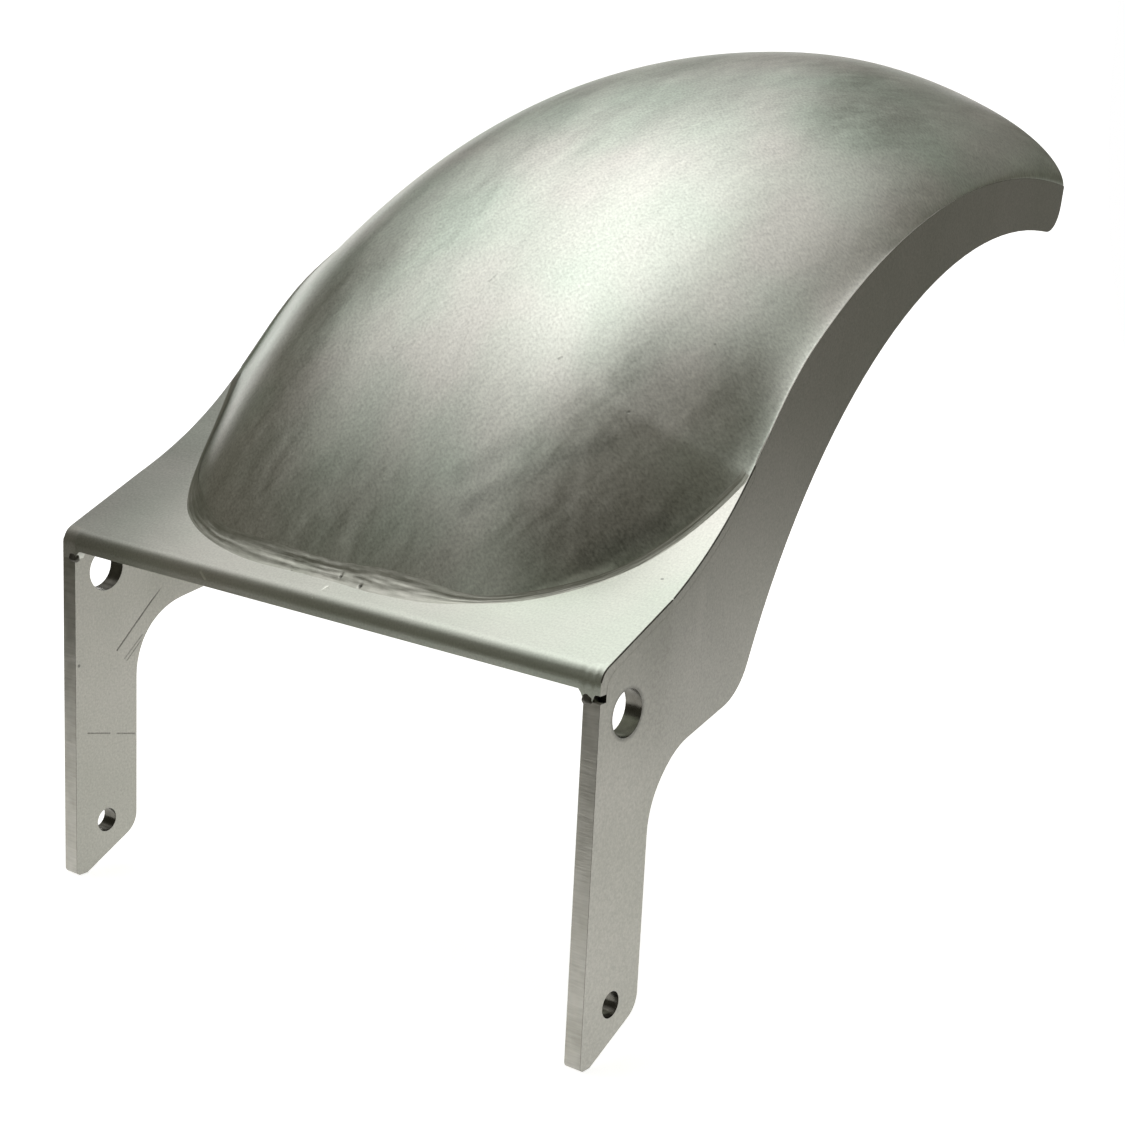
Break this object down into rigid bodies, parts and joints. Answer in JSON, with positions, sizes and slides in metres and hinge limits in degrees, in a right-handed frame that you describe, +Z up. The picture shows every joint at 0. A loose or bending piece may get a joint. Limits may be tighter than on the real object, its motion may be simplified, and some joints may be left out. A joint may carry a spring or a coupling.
{
  "type": "motorcycle rear fender",
  "caption": "Short motorcycle rear fender with a crowned raw steel shell, arched side plates with bolt-on legs, and a sloping deck with a rolled front edge welded round its nose.",
  "frame": {"origin": "midway between the legs, on the axis of the upper bolt holes", "axes": "+X to the rider's left along the bolt axis, +Y towards the tail, +Z up along the legs"},
  "size_m": [0.228, 0.3366, 0.2932],
  "materials": {
    "plate_steel": "bare steel plate, blasted and matte, with cut edges",
    "deck_steel": "bare steel sheet, smooth and satin",
    "shell_steel": "bare steel, sanded by hand to a satin",
    "weld_steel": "bare weld metal, ground down and pitted"
  },
  "bodies": {
    "root": {"left_side_plate": "plate_steel", "right_side_plate": "plate_steel", "deck_plate": "deck_steel", "fender_shell": "shell_steel", "seam_weld": "weld_steel", "left_corner_weld": "weld_steel", "right_corner_weld": "weld_steel"}
  },
  "joints": []
}
